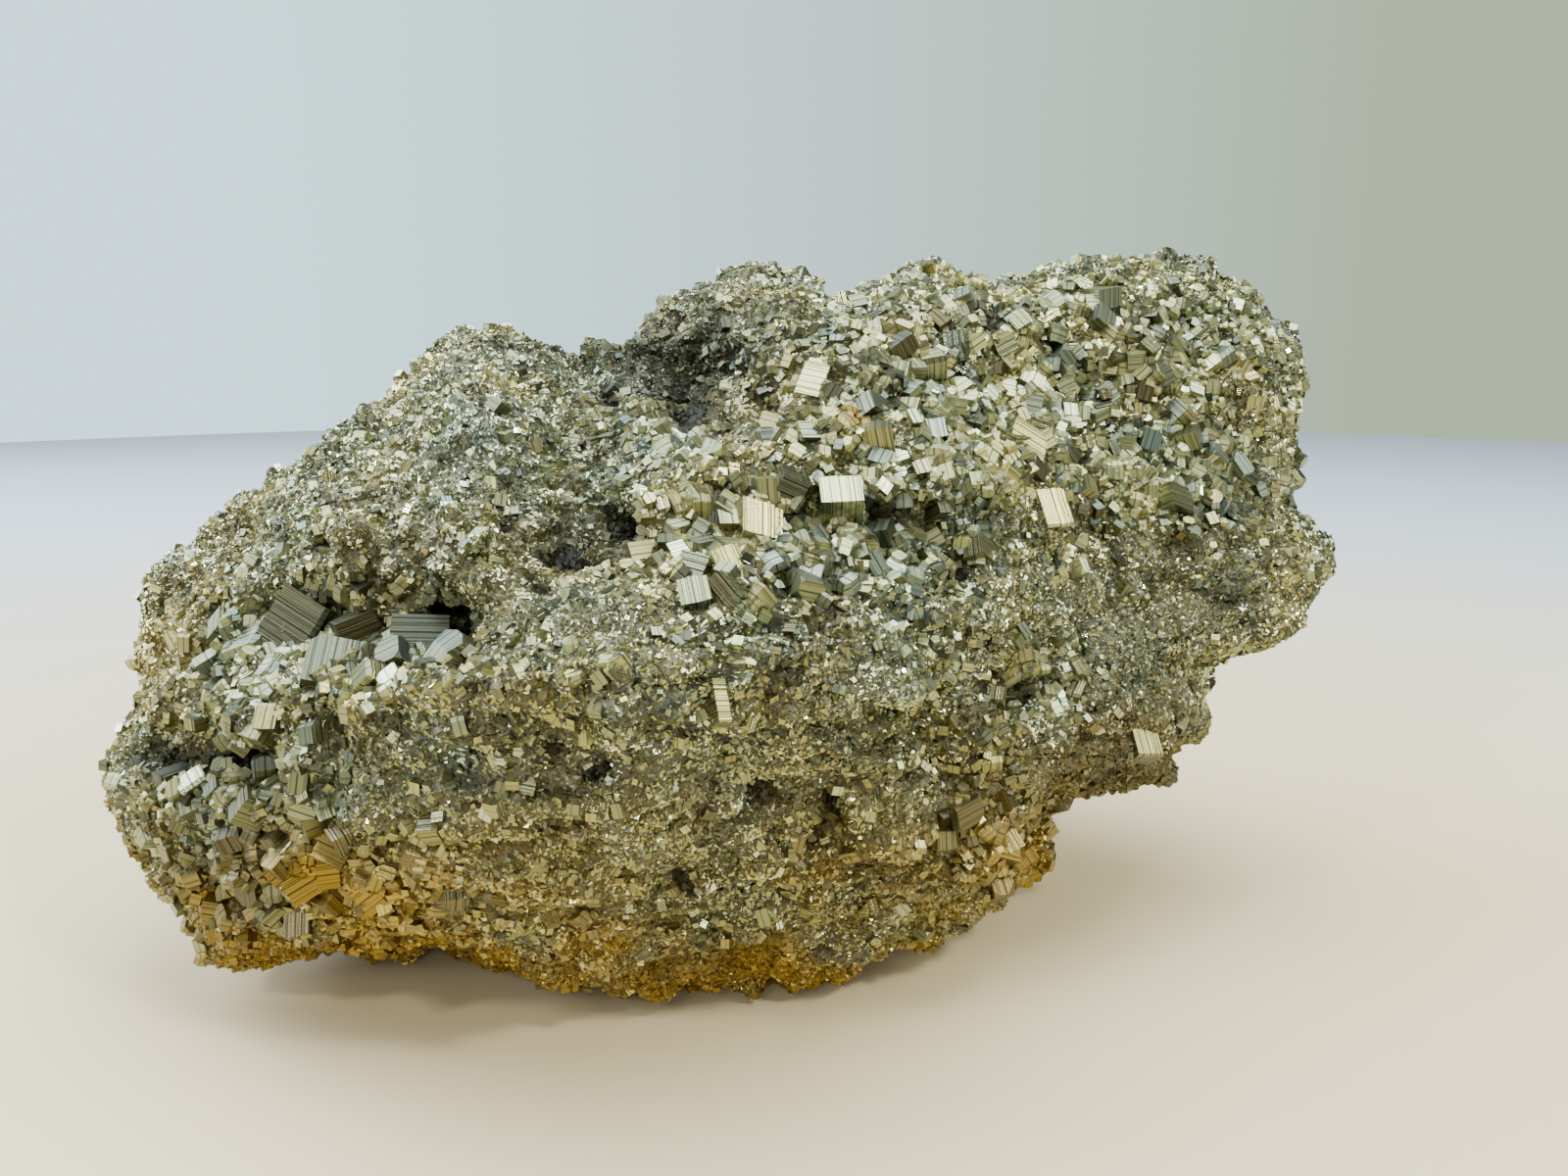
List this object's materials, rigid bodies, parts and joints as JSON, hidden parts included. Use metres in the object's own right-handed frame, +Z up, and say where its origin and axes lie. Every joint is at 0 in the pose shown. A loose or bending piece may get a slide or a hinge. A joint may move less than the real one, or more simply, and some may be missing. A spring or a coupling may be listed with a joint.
{
  "type": "pyrite cluster",
  "caption": "Natural lump of pyrite, its massive body grown over with blocky brassy crystals; a display specimen or stone that rests on a small flat spot.",
  "frame": {"origin": "under the middle of the stone's bounding box, on the surface that it rests on", "axes": "+X to the right lobe along the stone's longest extent, +Y to the back, +Z up; the side with the coarse crystals and the overhanging brow faces -Y"},
  "size_m": [0.1522, 0.1043, 0.0861],
  "materials": {
    "pyrite": "dull greenish grey brassy metal, with bright crystal faces and ochre patches low down"
  },
  "bodies": {
    "root": {"pyrite_cluster": "pyrite"}
  },
  "joints": []
}
